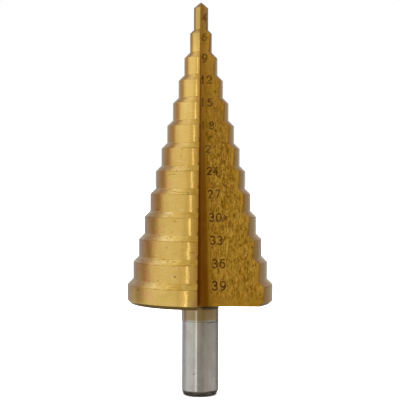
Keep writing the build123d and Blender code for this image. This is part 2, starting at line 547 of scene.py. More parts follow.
def land_material():
    t = Tree("coated_land")
    z = t.axis("Z")
    inner, outer, bevel, edge = t.attr("near_inner"), t.attr("near_outer"), t.attr("bevel"), t.attr("from_edge")
    radius = t.math("SQRT", t.math("ADD", t.math("POWER", t.axis("X"), 2.0), t.math("POWER", t.axis("Y"), 2.0)))
    round_by = t.math("DIVIDE", edge, t.math("MAXIMUM", radius, 0.5))       # radians round from the cutting edge
    broad = t.noise(t.scaled(0.16, 0.16, 0.22), 1.0, 3.0)
    colour = t.mix(t.span(broad, 0.35, 0.7), GOLD_LAND, (0.81, 0.535, 0.15))
    # the coating's tint drifts from step to step, warmer here and greener there
    blush = t.noise(t.scaled(0.13, 0.13, 0.26, (5, 7, 3)), 1.0, 3.0, 0.6, 0.5)
    flush = t.noise(t.scaled(0.22, 0.22, 0.30, (5, 1, 6)), 1.0, 3.0, 0.6, 0.5)
    wear_tint_and_rim_sheen = t.math("MULTIPLY", t.span(t.math("MULTIPLY_ADD", flush, 0.6, round_by), 0.92, 1.16, 0.12, 1.0), t.span(z, 66.0, 58.0, 0.4, 1.0))
    colour = t.mix(t.math("MULTIPLY", wear_tint_and_rim_sheen, t.span(flush, 0.46, 0.62, 0.0, 0.62)), colour, (0.92, 0.51, 0.215))
    umber = t.noise(t.scaled(0.30, 0.30, 0.16, (2, 7, 2)), 1.0, 3.0, 0.6, 0.5)
    colour = t.mix(t.math("MULTIPLY", t.span(round_by, 0.80, 0.92), t.span(umber, 0.50, 0.66, 0.0, 0.45)), colour, (0.62, 0.40, 0.10))
    colour = t.mix(t.span(blush, 0.44, 0.32, 0.0, 0.45), colour, (0.80, 0.585, 0.13))
    # turning marks, finest on the lands and coarser on the bevels, drawn as darker streaks and as painted highlights,
    # strongest on the bevels
    fine = t.noise(t.scaled(0.06, 0.06, 9.0), 1.0, 2.0, 0.6)
    coarse = t.noise(t.scaled(0.24, 0.24, 2.9, (3, 1, 7)), 1.0, 3.0, 0.75, 0.12)
    patch = t.noise(t.scaled(0.28, 0.28, 0.5, (6, 2, 9)), 1.0, 3.0, 0.6)
    block = t.noise(t.scaled(0.40, 0.40, 0.35, (2, 9, 4)), 1.0, 2.0, 0.6)
    line = t.mix(bevel, fine, coarse)
    amount = t.math("MULTIPLY", bevel, t.span(patch, 0.38, 0.62, 0.25, 1.0))
    big = t.span(z, 72.0, 62.0, 0.30, 1.0)
    amount = t.math("MULTIPLY", amount, big)
    dull = t.math("MULTIPLY", t.span(coarse, 0.52, 0.64), t.math("MULTIPLY_ADD", amount, 0.80, 0.05))
    colour = t.mix(dull, colour, (0.53, 0.32, 0.075))
    shine = t.math("MULTIPLY", t.span(coarse, 0.48, 0.36), t.math("MULTIPLY_ADD", amount, 0.75, 0.04))
    colour = t.mix(shine, colour, (0.99, 0.78, 0.34))
    # painted highlights: pale cream-coloured blocks on the bevels, strongest on the bigger steps
    cream = t.math("MULTIPLY", t.math("MULTIPLY", bevel, big), t.span(block, 0.50, 0.59, 0.0, 0.62))
    colour = t.mix(cream, colour, (0.985, 0.735, 0.30))
    colour = t.mix(t.span(z, 64.0, 74.0, 0.0, 0.33), colour, (0.99, 0.69, 0.25))
    colour = t.mix(t.math("MULTIPLY", bevel, t.span(z, 66.0, 74.0, 0.0, 0.30)), colour, (0.90, 0.60, 0.17))
    colour = t.mix(t.span(z, 91.0, 98.0, 0.0, 0.72), colour, (0.51, 0.37, 0.135))
    brown = t.math("MULTIPLY", t.math("MULTIPLY", t.span(round_by, 0.62, 0.76), t.span(round_by, 1.04, 0.90)), bevel)
    colour = t.mix(t.math("MULTIPLY", brown, 0.42), colour, (0.60, 0.365, 0.095))
    # short rubbed streaks round the lands
    rub = t.noise(t.scaled(0.40, 0.40, 2.4, (8, 3, 5)), 1.0, 3.0, 0.65, 0.8)
    colour = t.mix(t.span(rub, 0.56, 0.70, 0.0, 0.46), colour, (0.66, 0.43, 0.12))
    colour = t.mix(t.span(rub, 0.43, 0.29, 0.0, 0.55), colour, (0.99, 0.735, 0.29))
    # painted shade: a dark line in the inner corner and at the outer one
    broken = t.noise(t.scaled(0.55, 0.55, 0.55, (9, 2, 5)), 1.0, 3.0, 0.65)
    corner = t.math("MULTIPLY", t.span(outer, 0.19, 0.03), t.span(broken, 0.36, 0.60, 0.15, 1.0))
    crease = t.math("MULTIPLY", t.span(inner, 0.16, 0.05), t.span(broken, 0.44, 0.68, 0.0, 0.8))
    corner_shade = t.math("MAXIMUM", t.math("MULTIPLY", corner, 0.60), t.math("MULTIPLY", crease, 0.5))
    colour = t.mix(t.math("MULTIPLY", corner_shade, t.span(z, 66.0, 74.0, 1.0, 0.45)), colour, (0.38, 0.20, 0.03))
    pits = t.math("MAXIMUM", specks(t, 1.2, 0.04, 4.0), t.math("MULTIPLY", specks(t, 0.7, 0.03, 11.0), 0.6))
    marks = t.math("MAXIMUM", scratches(t, 1.1, 2.2, 0.16, 3.0, 0.72, 0.75), scratches(t, 1.45, 1.8, 0.15, 17.0, 0.71, 0.745))
    dark = t.math("MAXIMUM", t.math("MULTIPLY", pits, 0.50), t.math("MULTIPLY", marks, 0.30))
    dark = t.math("MAXIMUM", dark, dashes(t, edge, z, KNOCKS))
    colour = t.mix(dark, colour, (0.33, 0.19, 0.03))
    # painted shade: a darker band about 12 to 17 degrees round from the cutting edge, just behind the strip light's
    # highlight
    strip_shade = t.math("MULTIPLY", t.span(round_by, 0.30, 0.255), t.span(round_by, 0.205, 0.235))
    colour = t.mix(t.math("MULTIPLY", strip_shade, 0.28), colour, (0.68, 0.45, 0.10))
    # darker along the cutting edge close to each shoulder's inner corner, not on the bevels, and more so on the bigger
    # steps
    edge_darkening = t.math("MULTIPLY", t.span(edge, 0.34, 0.12), t.span(inner, 1.5, 0.5))
    edge_darkening = t.math("MULTIPLY", edge_darkening, t.math("MULTIPLY", t.math("SUBTRACT", 1.0, bevel), t.span(z, 76.0, 60.0, 0.2, 0.85)))
    colour = t.mix(edge_darkening, colour, (0.22, 0.10, 0.01))
    chafed = t.math("MULTIPLY", t.span(edge, 1.6, 0.3), t.math("MULTIPLY", t.span(z, 28.6, 25.6), t.span(broken, 0.36, 0.56, 0.25, 0.9)))
    colour = t.mix(chafed, colour, (0.52, 0.30, 0.17))
    # painted shade: the downward-facing chamfer at the foot of the widest step is darkened
    colour = t.mix(t.span(z, 25.66, 25.48, 0.0, 0.78), colour, (0.27, 0.18, 0.06))
    # painted glints: bright scratches and the short gleams listed in GLEAMS
    bright = t.math("MAXIMUM", scratches(t, 0.9, 2.6, 0.12, 29.0, 0.71, 0.745), scratches(t, 1.45, 2.0, 0.12, 37.0, 0.70, 0.74))
    bright = t.math("MAXIMUM", t.math("MULTIPLY", bright, 0.4), dashes(t, edge, z, GLEAMS))
    colour = t.mix(bright, colour, (1.0, 0.84, 0.46))
    wobble = t.noise(t.scaled(0.9, 0.9, 0.45, (2, 8, 1)), 1.0, 2.0)
    normal = t.bump(wobble, 0.000020, 1.0)
    normal = t.bump(line, 0.000002, 1.0, normal)
    normal = t.bump(t.math("SUBTRACT", 1.0, t.math("MAXIMUM", pits, t.math("MULTIPLY", marks, 0.3))), 0.00001, 1.0, normal)
    rough = t.math("ADD", t.span(broad, 0.3, 0.7, 0.10, 0.16), t.math("MULTIPLY", dark, 0.15))
    rough = t.math("ADD", rough, t.math("MULTIPLY", bevel, 0.06))
    return t.finish(colour, rough, 1.0, normal, 0.0)


def floor_nodes(t):
    """Colour, roughness and normal of the ground flute floor, mottled by its coating, with painted glints in it."""
    z = t.axis("Z")
    strength = t.math("MULTIPLY", t.span(z, 86.0, 60.0, 0.30, 1.0), t.span(z, 26.0, 29.5, 0.40, 1.0))
    streak = t.noise(t.scaled(2.5, 2.5, 0.56, (0, 0, 0)), 1.0, 3.0, 0.68, 0.45)
    blot = t.noise(t.scaled(1.3, 1.3, 1.0, (4, 4, 9)), 1.0, 4.0, 0.7, 0.5)
    grain = t.noise(t.scaled(3.3, 3.3, 1.35, (1, 6, 2)), 1.0, 3.0, 0.7, 0.4)
    drift = t.noise(t.scaled(0.30, 0.30, 0.20, (2, 5, 3)), 1.0, 2.0, 0.5)
    mot = t.math("MULTIPLY_ADD", streak, 0.55, t.math("MULTIPLY", blot, 0.45))
    base = t.mix(t.span(z, 44.0, 60.0), (0.712, 0.424, 0.066), (0.600, 0.338, 0.056))
    base = t.mix(t.span(z, 72.0, 84.0), base, (0.70, 0.412, 0.090))
    base = t.mix(t.span(z, 86.0, 93.0), base, (0.88, 0.530, 0.130))
    base = t.mix(t.span(z, 95.0, 99.0), base, (0.67, 0.410, 0.210))
    colour = t.mix(t.span(drift, 0.42, 0.62, 0.0, 0.5), base, (0.70, 0.44, 0.045))
    warm = t.noise(t.scaled(0.42, 0.42, 0.25, (8, 2, 6)), 1.0, 2.0, 0.5)
    colour = t.mix(t.span(warm, 0.52, 0.66, 0.0, 0.50), colour, (0.80, 0.42, 0.085))
    k = t.math("MULTIPLY", strength, t.span(mot, 0.52, 0.42, 0.0, 1.0))
    colour = t.mix(k, colour, (0.37, 0.190, 0.004))
    k = t.math("MULTIPLY", strength, t.span(mot, 0.53, 0.61, 0.0, 0.9))
    colour = t.mix(k, colour, (0.96, 0.66, 0.150))
    spots = t.math("MULTIPLY", t.span(grain, 0.56, 0.65), t.math("MULTIPLY", strength, 0.80))
    colour = t.mix(spots, colour, (0.22, 0.105, 0.0))
    # painted glints: small bright flecks in the grain and short bright streaks along it
    flake_glints = t.math("MULTIPLY", t.span(grain, 0.43, 0.34), t.math("MULTIPLY", strength, 0.60))
    colour = t.mix(flake_glints, colour, (0.98, 0.70, 0.18))
    glint = t.noise(t.scaled(3.4, 3.4, 0.42, (6, 1, 8)), 1.0, 2.0, 0.6, 0.25)
    colour = t.mix(t.math("MULTIPLY", t.span(glint, 0.57, 0.67), t.math("MULTIPLY", strength, 0.75)), colour, (1.0, 0.74, 0.17))
    hair = t.noise(t.scaled(3.0, 3.0, 0.20, (4, 1, 2)), 1.0, 2.0, 0.6, 0.15)
    low = t.math("MULTIPLY", t.span(z, 60.0, 46.0), t.span(z, 27.5, 30.0, 0.25, 1.0))
    colour = t.mix(t.math("MULTIPLY", low, t.span(hair, 0.55, 0.65, 0.0, 0.50)), colour, (1.0, 0.72, 0.17))
    x = t.axis("X")
    colour = t.mix(dashes(t, x, z, [(u, h, n, 1.7 * w, s, 1.2 * d) for u, h, n, w, s, d in RUBBED]), colour, (1.0, 0.72, 0.16))
    colour = t.mix(dashes(t, x, z, [(u, h, 1.5 * n, 1.6 * w, s, 1.35 * d) for u, h, n, w, s, d in SMEARS]), colour, (0.25, 0.122, 0.022))
    tarnish = t.noise(t.scaled(0.75, 0.75, 0.5, (3, 3, 6)), 1.0, 3.0, 0.65, 0.5)
    colour = t.mix(t.math("MULTIPLY", t.span(tarnish, 0.56, 0.66, 0.0, 0.42), t.span(z, 40.0, 56.0, 0.45, 1.0)), colour, (0.47, 0.270, 0.050))
    # painted shade next to the root; brighter in patches along the heel
    radius = t.math("MULTIPLY_ADD", t.math("SUBTRACT", 97.25, z), 0.0358, 0.44)
    root_shade = t.span(t.math("SUBTRACT", t.math("ABSOLUTE", t.axis("X")), radius), 1.7, -0.1, 0.0, 0.46)
    colour = t.mix(root_shade, colour, (0.42, 0.22, 0.02))
    heel = t.math("MULTIPLY", t.span(t.attr("to_heel"), 1.3, 0.35), t.span(warm, 0.40, 0.56, 0.05, 0.65))
    colour = t.mix(t.math("MULTIPLY", heel, t.span(z, 80.0, 60.0)), colour, (1.0, 0.66, 0.11))
    bands = t.noise(t.scaled(0.85, 0.85, 0.03, (7, 2, 2)), 1.0, 2.0, 0.5)
    colour = t.mix(t.span(bands, 0.5, 0.75, 0.0, 0.35), colour, (0.48, 0.27, 0.02))
    rough = t.span(mot, 0.4, 0.65, 0.40, 0.30)
    height = t.math("ADD", t.math("MULTIPLY", streak, 0.6), t.math("MULTIPLY", grain, 0.4))
    normal = t.bump(t.math("MULTIPLY", height, strength), 0.00005, 1.0)
    return colour, rough, normal


def floor_material():
    t = Tree("coated_floor")
    colour, rough, normal = floor_nodes(t)
    pits = t.math("MULTIPLY", specks(t, 1.1, 0.2, 21.0), 0.7)
    colour = t.mix(pits, colour, (0.18, 0.085, 0.0))
    return t.finish(colour, rough, 1.0, normal, 0.0)


def root_nodes(t):
    """Colour and roughness of the fillet in the root of a flute."""
    z = t.axis("Z")
    streak = t.noise(t.scaled(1.4, 1.4, 0.05, (3, 3, 3)), 1.0, 2.0, 0.5)
    cloud = t.noise(t.scaled(0.5, 0.5, 0.2, (6, 3, 3)), 1.0, 2.0, 0.5)
    radius = t.math("MULTIPLY_ADD", t.math("SUBTRACT", 97.25, z), 0.0358, 0.44)
    across = t.math("DIVIDE", t.math("ABSOLUTE", t.axis("X")), radius)      # 0 at the rake face, 1 at the floor
    low = t.mix(t.span(streak, 0.35, 0.7), (0.66, 0.315, 0.022), (0.57, 0.262, 0.012))
    high = t.mix(t.span(streak, 0.35, 0.7), (0.98, 0.61, 0.115), (0.88, 0.53, 0.085))
    colour = t.mix(t.span(z, 50.0, 88.0), low, high)
    near = t.math("MULTIPLY", t.span(across, 0.42, 0.10), t.span(z, 25.0, 60.0, 0.45, 1.0))
    colour = t.mix(t.math("MULTIPLY", near, 0.8), colour, (0.98, 0.72, 0.26))
    # painted shade across the middle of the fillet, in the hollow of the root
    colour = t.mix(t.span(across, 0.30, 0.60, 0.0, 0.28), colour, (0.36, 0.16, 0.005))
    colour = t.mix(t.span(across, 0.66, 0.96, 0.0, 0.75), colour, (0.58, 0.375, 0.055))
    colour = t.mix(t.span(cloud, 0.45, 0.7, 0.0, 0.3), colour, (0.80, 0.46, 0.08))
    rough = t.span(streak, 0.3, 0.7, 0.20, 0.28)
    return colour, rough, streak


def root_material():
    t = Tree("coated_root")
    colour, rough, streak = root_nodes(t)
    return t.finish(colour, rough, 1.0, t.bump(streak, 0.000004, 1.0), 0.0)


def mark_material():
    """Numbers burnt into the coating: the surface below, darkened under the strokes and paler close round them."""
    t = Tree("burnt_number")
    colour, rough, normal = floor_nodes(t)
    inside, inside_rough, _ = root_nodes(t)
    radius = t.math("MULTIPLY_ADD", t.math("SUBTRACT", 97.25, t.axis("Z")), 0.0358, 0.44)
    over = t.span(t.math("SUBTRACT", t.math("ABSOLUTE", t.axis("X")), radius), 0.04, -0.04)
    colour = t.mix(over, colour, inside)
    rub = t.noise(t.scaled(1.3, 1.3, 1.3, (5, 5, 5)), 1.0, 3.0, 0.65)
    ragged = t.noise(t.scaled(3.2, 3.2, 3.2, (2, 6, 5)), 1.0, 2.0, 0.6)
    out = t.math("MULTIPLY_ADD", ragged, 0.13, t.math("SUBTRACT", t.attr("from_stroke"), 0.065))
    halo = t.math("MULTIPLY", t.math("MULTIPLY", t.span(out, 0.10, 0.22), t.span(out, 0.46, 0.24)), t.span(rub, 0.36, 0.60, 0.20, 0.60))
    halo = t.math("MULTIPLY", halo, t.span(over, 0.0, 1.0, 1.0, 0.0))
    halo = t.math("MULTIPLY", halo, t.span(t.axis("Z"), 82.0, 62.0, 0.25, 1.0))
    colour = t.mix(halo, colour, (0.84, 0.58, 0.24))
    bruise = t.math("MULTIPLY", t.span(out, 0.42, 0.14), t.math("MULTIPLY", t.attr("burn"), 0.52))
    bruise = t.math("MULTIPLY", bruise, t.span(t.axis("Z"), 66.0, 48.0, 0.55, 1.0))
    colour = t.mix(bruise, colour, (0.40, 0.19, 0.03))
    fade = t.math("MULTIPLY", t.span(rub, 0.64, 0.44, 0.52, 1.0), t.attr("burn"))
    fade = t.math("MULTIPLY", fade, t.span(out, 0.31, 0.13))
    colour = t.mix(t.math("MULTIPLY", fade, 0.95), colour, (0.142, 0.059, 0.002))
    rough = t.math("MULTIPLY_ADD", fade, 0.12, rough)
    return t.finish(colour, rough, 1.0, normal, 0.0)


def rake_material():
    t = Tree("coated_rake")
    lines = t.noise(t.scaled(0.3, 6.0, 0.25, (2, 4, 8)), 1.0, 3.0, 0.6)
    blot = t.noise(t.scaled(0.9, 0.9, 0.9, (4, 4, 9)), 1.0, 4.0, 0.65)
    colour = t.mix(t.span(blot, 0.4, 0.65), (0.82, 0.52, 0.11), (0.66, 0.37, 0.06))
    pits = t.math("MULTIPLY", specks(t, 0.9, 0.16, 31.0), 0.7)
    colour = t.mix(pits, colour, (0.18, 0.09, 0.03))
    rough = t.span(lines, 0.3, 0.7, 0.20, 0.32)
    return t.finish(colour, rough, 1.0, t.bump(lines, 0.00001, 1.0), 0.15, 0.15)


def underside_material():
    t = Tree("coated_underside")
    blot = t.noise(t.scaled(0.4, 0.4, 0.4), 1.0, 4.0, 0.6)
    lines = t.noise(t.scaled(3.0, 3.0, 0.2), 1.0, 2.0)
    # painted shade: the underside's gold coating is given a much darker colour than the lands'
    colour = t.mix(t.span(blot, 0.35, 0.7), (0.33, 0.215, 0.073), (0.205, 0.136, 0.062))
    pits = t.math("MULTIPLY", specks(t, 1.2, 0.18, 41.0), 0.6)
    colour = t.mix(pits, colour, (0.12, 0.07, 0.03))
    return t.finish(colour, t.span(lines, 0.3, 0.7, 0.3, 0.42), 1.0, t.bump(lines, 0.000006, 1.0))


def shank_material():
    """Ground steel, with a thin gold haze near the cone where the coating ran out; upright bands of painted reflection
    and painted shade are laid over both.
    """
    t = Tree("ground_steel")
    x, y, z = t.axis("X"), t.axis("Y"), t.axis("Z")
    lines = t.noise(t.scaled(7.0, 7.0, 0.06), 1.0, 2.0, 0.6)
    cloud = t.noise(t.scaled(0.5, 0.5, 0.25, (8, 1, 4)), 1.0, 3.0, 0.6)
    steel = t.mix(t.span(cloud, 0.35, 0.7), (0.60, 0.575, 0.53), (0.52, 0.49, 0.45))
    steel = t.mix(t.span(lines, 0.55, 0.75, 0.0, 0.3), steel, (0.42, 0.40, 0.37))
    # painted reflections: lighter and darker upright bands by x across the front of the steel
    steel = t.mix(t.math("MULTIPLY", t.span(x, 1.2, 1.6), t.span(x, 3.0, 2.0)), steel, (0.515, 0.475, 0.425))
    steel = t.mix(t.math("MULTIPLY", t.span(x, 2.9, 3.5), t.span(x, 4.2, 3.7, 0.0, 0.6)), steel, (0.61, 0.585, 0.545))
    steel = t.mix(t.math("MULTIPLY", t.span(x, 4.12, 4.42), t.span(x, 4.75, 4.5)), steel, (0.42, 0.41, 0.40))
    wander = t.math("MULTIPLY_ADD", t.noise(t.scaled(0.35, 0.35, 0.35, (1, 1, 1)), 1.0, 2.0), 0.8, -0.4)
    level = t.math("ADD", z, wander)
    haze = t.mix(t.span(cloud, 0.35, 0.7), (0.41, 0.305, 0.18), (0.375, 0.275, 0.15))
    # painted reflections: the haze is paler in upright bands by x, with a painted highlight line near x = -0.85 mm
    pale = t.math("MULTIPLY", t.span(x, -0.6, 0.9), t.span(x, 1.5, 2.6, 1.0, 0.42))
    haze = t.mix(t.math("MULTIPLY", pale, 0.9), haze, (0.53, 0.40, 0.175))
    lit = t.span(t.math("ABSOLUTE", t.math("ADD", x, 0.85)), 0.62, 0.30, 0.0, 0.85)
    haze = t.mix(lit, haze, (0.455, 0.365, 0.255))
    haze = t.mix(t.span(x, 3.4, 4.2), haze, (0.50, 0.385, 0.235))
    # painted reflection: the haze turns paler and greyer at the far left and right rims, as a grazing sheen
    wear_tint_and_rim_sheen = t.math("MAXIMUM", t.span(x, -3.8, -4.5), t.span(x, 4.3, 4.8, 0.0, 0.4))
    haze = t.mix(wear_tint_and_rim_sheen, haze, (0.63, 0.57, 0.50))
    colour = t.mix(t.span(level, 19.9, 20.6), steel, haze)
    # painted shade under the cone: the shank darkens towards the neck, and more on its +X side
    colour = t.mix(t.span(z, 22.9, 24.2, 0.0, 0.74), colour, (0.10, 0.070, 0.04))
    shade = t.math("MULTIPLY", t.span(x, 0.2, 1.2, 0.0, 0.66), t.span(z, 22.98, 23.38))
    colour = t.mix(shade, colour, (0.07, 0.050, 0.032))
    line = t.math("MULTIPLY", t.span(t.math("ABSOLUTE", t.math("SUBTRACT", z, 19.95)), 0.16, 0.04), 0.45)
    colour = t.mix(line, colour, (0.14, 0.10, 0.06))
    spots = t.math("MULTIPLY", specks(t, 1.4, 0.08, 51.0), 0.7)
    colour = t.mix(spots, colour, (0.25, 0.16, 0.09))
    ends = t.span(z, 1.50, 1.22)
    scale = t.noise(t.scaled(0.5, 0.5, 2.6, (3, 9, 4)), 1.0, 3.0, 0.6, 0.5)
    burnt = t.mix(t.span(scale, 0.38, 0.60), (0.27, 0.26, 0.245), (0.08, 0.072, 0.063))
    colour = t.mix(t.math("MULTIPLY", ends, 0.95), colour, burnt)
    radius = t.math("SQRT", t.math("ADD", t.math("MULTIPLY", x, x), t.math("MULTIPLY", y, y)))
    flat = t.span(radius, 4.99, 4.96)
    rough = t.math("ADD", t.span(cloud, 0.3, 0.7, 0.09, 0.12), t.math("MULTIPLY", ends, 0.2))
    rough = t.math("ADD", rough, t.math("MULTIPLY", flat, 0.16))
    normal = t.bump(lines, 0.000002, 1.0)
    normal = t.bump(t.math("MULTIPLY", scale, ends), 0.00006, 1.0, normal)
    return t.finish(colour, rough, 1.0, normal)


materials = [land_material(), floor_material(), root_material(), rake_material(), underside_material(), shank_material()]
for m in materials:
    mesh.materials.append(m)
mesh.polygons.foreach_set("material_index", mats)
mesh.polygons.foreach_set("use_smooth", [True] * len(faces))
for name, values in (("near_inner", near_inner), ("near_outer", near_outer), ("bevel", on_bevel), ("from_edge", from_edge), ("to_heel", to_heel)):
    a = mesh.attributes.new(name, "FLOAT", "POINT")
    a.data.foreach_set("value", [values.get(v, 9.0 if name != "bevel" else 0.0) for v in range(len(verts))])
mesh.update()

import bmesh
bm = bmesh.new()
bm.from_mesh(mesh)
bmesh.ops.remove_doubles(bm, verts=bm.verts, dist=1e-7)
bmesh.ops.recalc_face_normals(bm, faces=bm.faces)
bm.to_mesh(mesh)
bad = [e for e in bm.edges if not e.is_manifold]
print("drill_body", len(bm.verts), "verts", len(bm.faces), "faces", len(bad), "open edges")
bm.free()
mesh.set_sharp_from_angle(angle=math.radians(32))

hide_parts("drill")
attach(body, "root")


# ------------------------------------------------------------------ size numbers on the flute floors
def arc(cx, cy, rx, ry, a0, a1, n=14):
    return [(cx + rx * math.cos(math.radians(a0 + (a1 - a0) * k / n)), cy + ry * math.sin(math.radians(a0 + (a1 - a0) * k / n))) for k in range(n + 1)]


# Each digit is drawn in a cell 0.6 wide and 1 tall, as pen strokes.
DIGITS = {
    "0": [arc(0.3, 0.5, 0.3, 0.5, 0, 360, 28)],
    "1": [[(0.08, 0.76), (0.32, 1.0), (0.32, 0.0)]],
    "2": [arc(0.3, 0.70, 0.28, 0.30, 165, -35, 14) + [(0.02, 0.0), (0.6, 0.0)]],
    "3": [arc(0.28, 0.74, 0.25, 0.26, 150, -90, 14), arc(0.28, 0.26, 0.30, 0.26, 90, -150, 14)],
    "4": [[(0.45, 0.0), (0.45, 1.0), (0.0, 0.3), (0.6, 0.3)]],
    "5": [[(0.55, 1.0), (0.12, 1.0), (0.06, 0.55)] + arc(0.28, 0.33, 0.30, 0.33, 130, -145, 16)],
    "6": [arc(0.3, 0.32, 0.29, 0.32, 0, 360, 24), arc(0.42, 0.32, 0.41, 0.68, 180, 78, 10)],
    "7": [[(0.02, 1.0), (0.58, 1.0), (0.22, 0.0)]],
    "8": [arc(0.3, 0.75, 0.24, 0.25, 0, 360, 22), arc(0.3, 0.27, 0.29, 0.27, 0, 360, 24)],
    "9": [arc(0.3, 0.68, 0.29, 0.32, 0, 360, 24), arc(0.18, 0.68, 0.41, 0.68, 0, -102, 10)],
}
CELL = 0.1                         # grid for the plates, in millimetres
TALL, WIDE = 2.36, 1.36
MARGIN = 0.42                      # how far a plate runs out round the strokes
PROUD = 0.012


def stroke_field(digits, scale):
    """Grid over a number, and the distance from every grid corner to the nearest pen stroke. Digits are given with their centres."""
    lines = []
    for strokes, cx in digits:
        for line in strokes:
            p = np.array(line) * (WIDE / 0.6, TALL) - (WIDE / 2, TALL / 2)
            lines.append(p * scale + (cx, 0.0))
    low = np.min([p.min(axis=0) for p in lines], axis=0) - MARGIN - CELL
    high = np.max([p.max(axis=0) for p in lines], axis=0) + MARGIN + CELL
    nx, ny = [int(math.ceil(s / CELL)) for s in high - low]
    gx, gy = np.meshgrid(np.arange(nx + 1) * CELL + low[0], np.arange(ny + 1) * CELL + low[1], indexing="ij")
    best = np.full(gx.shape, 9.0)
    for p in lines:
        for (x0, y0), (x1, y1) in zip(p, p[1:]):
            dx, dy = x1 - x0, y1 - y0
            t = np.clip(((gx - x0) * dx + (gy - y0) * dy) / max(dx * dx + dy * dy, 1e-9), 0, 1)
            best = np.minimum(best, np.hypot(gx - x0 - t * dx, gy - y0 - t * dy))
    return gx, gy, best


def number_mesh(digits, scale, place):
    """A closed thin plate round the strokes of a number; place maps (x, y, height) in millimetres to a point."""
    gx, gy, best = stroke_field(digits, scale)
    f = best - MARGIN
    nx, ny = gx.shape[0] - 1, gx.shape[1] - 1
    points, far, index, polys = [], [], {}, []

    def node(key, x, y, d):
        if key not in index:
            index[key] = len(points)
            points.append((x, y))
            far.append(d)
        return index[key]

    rim = []
    for i in range(nx):
        for j in range(ny):
            cs = [(i, j), (i + 1, j), (i + 1, j + 1), (i, j + 1)]
            vals = [f[c] for c in cs]
            if min(vals) >= 0:
                continue
            loop = []
            for k in range(4):
                c, d = cs[k], cs[(k + 1) % 4]
                a, e = vals[k], vals[(k + 1) % 4]
                if a < 0:
                    loop.append((node(("c", c), gx[c], gy[c], best[c]), False))
                if (a < 0) != (e < 0):
                    u = min(max(a / (a - e), 0.02), 0.98)
                    key = ("e", min(c, d), max(c, d))
                    loop.append((node(key, gx[c] + (gx[d] - gx[c]) * u, gy[c] + (gy[d] - gy[c]) * u, MARGIN), True))
            ids = [p for p, _ in loop]
            if len(ids) < 3:
                continue
            polys.append(ids)
            for k in range(len(loop)):
                (p, pe), (q, qe) = loop[k], loop[(k + 1) % len(loop)]
                if pe and qe:
                    rim.append((p, q))
    n = len(points)
    v = [place(x, y, PROUD) for x, y in points] + [place(x, y, -0.03) for x, y in points]
    out = [tuple(p) for p in polys] + [tuple(q + n for q in reversed(p)) for p in polys]
    out += [(q, p, p + n, q + n) for p, q in rim]
    return v, out, far + far, [x for x, _ in points] * 2


def on_floor(z, turned):
    """Maps a place across the floor and a height above z to the floor of the front flute or, turned, of the back one."""
    def place(u, w, h):
        px, pz = u, z + w
        r = root_radius(pz)
        lean = math.asin(min(max(1.0 - px / r, 0.0), 0.98))     # 0 on the flat of the floor, rising round the root
        py = -floor_distance(pz) - r * (1.0 - math.cos(lean))
        px, py, pz = px + h * math.sin(lean), py - h * math.cos(lean), pz + h * 0.1185
        if turned:
            px, py = -px, -py
        return (px * MM, py * MM, pz * MM)

    return place


NUMBERS = [  # text, centre of each digit, height below the step's shoulder, size, depth of burn of each digit
    ("4", (0.98,), 2.75, 0.72, (0.78,)), ("6", (0.98,), 2.05, 0.76, (0.58,)), ("9", (1.08,), 1.62, 0.84, (0.74,)), ("12", (0.55, 2.30), 1.32, 0.80, (1.0, 0.92)),
    ("15", (0.58, 2.56), 1.40, 0.80, (0.74, 0.84)), ("18", (0.80, 3.04), 1.46, 0.82, (0.52, 0.90)), ("21", (2.15, 4.00), 1.62, 0.82, (0.72, 0.55)),
    ("24", (2.50, 4.15), 1.38, 0.82, (1.0, 0.90)), ("27", (2.81, 4.76), 1.42, 0.83, (1.0, 0.90)), ("30", (3.18, 5.08), 1.52, 0.88, (1.0, 0.96)),
    ("33", (3.55, 5.40), 1.46, 0.88, (0.90, 1.0)), ("36", (4.12, 6.10), 1.47, 0.91, (0.95, 1.0)), ("39", (4.15, 6.30), 1.18, 0.95, (1.0, 0.96))]
mv, mf, burn, from_stroke = [], [], [], []
for turned in (False, True):
    for text, xs, below, size, ink in NUMBERS:
        step = DIAMETERS.index(float(text))
        z = FIRST_SHOULDER - PITCH * (step - 1) - below
        v, f, far, across = number_mesh([(DIGITS[ch], x) for ch, x in zip(text, xs)], size, on_floor(z, turned))
        mf += [tuple(i + len(mv) for i in face) for face in f]
        mv += v
        wall = 0.46 * root_radius(z)
        burn += [ink[min(range(len(xs)), key=lambda k: abs(xs[k] - x))] * smooth(x, 0.35 * wall, wall) for x in across]
        from_stroke += far
nm = bpy.data.meshes.new("size_numbers")
nm.from_pydata(mv, [], mf)
nm.attributes.new("burn", "FLOAT", "POINT").data.foreach_set("value", burn)
nm.attributes.new("from_stroke", "FLOAT", "POINT").data.foreach_set("value", from_stroke)
numbers = bpy.data.objects.new("size_numbers", nm)
scene.collection.objects.link(numbers)
bm = bmesh.new()
bm.from_mesh(nm)
bmesh.ops.remove_doubles(bm, verts=bm.verts, dist=1e-7)
bmesh.ops.recalc_face_normals(bm, faces=bm.faces)
bm.to_mesh(nm)
print("size_numbers", len(bm.verts), "verts", len(bm.faces), "faces", sum(len(p.verts) - 2 for p in bm.faces), "triangles", len([e for e in bm.edges if not e.is_manifold]), "open edges")
bm.free()
nm.polygons.foreach_set("use_smooth", [True] * len(nm.polygons))
nm.set_sharp_from_angle(angle=math.radians(32))
nm.materials.append(mark_material())
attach(numbers, "root")

# ------------------------------------------------------------------ camera
VIEW = math.radians(2.2)          # the camera stands this far round from -Y, towards +X
CAM_D, CAM_X, CAM_Z = 319.87, -0.12, FIRST_SHOULDER - 35.75
PITCH_A, ROLL = math.radians(-1.691), math.radians(0.191)
FOCAL_PX = 1198.8

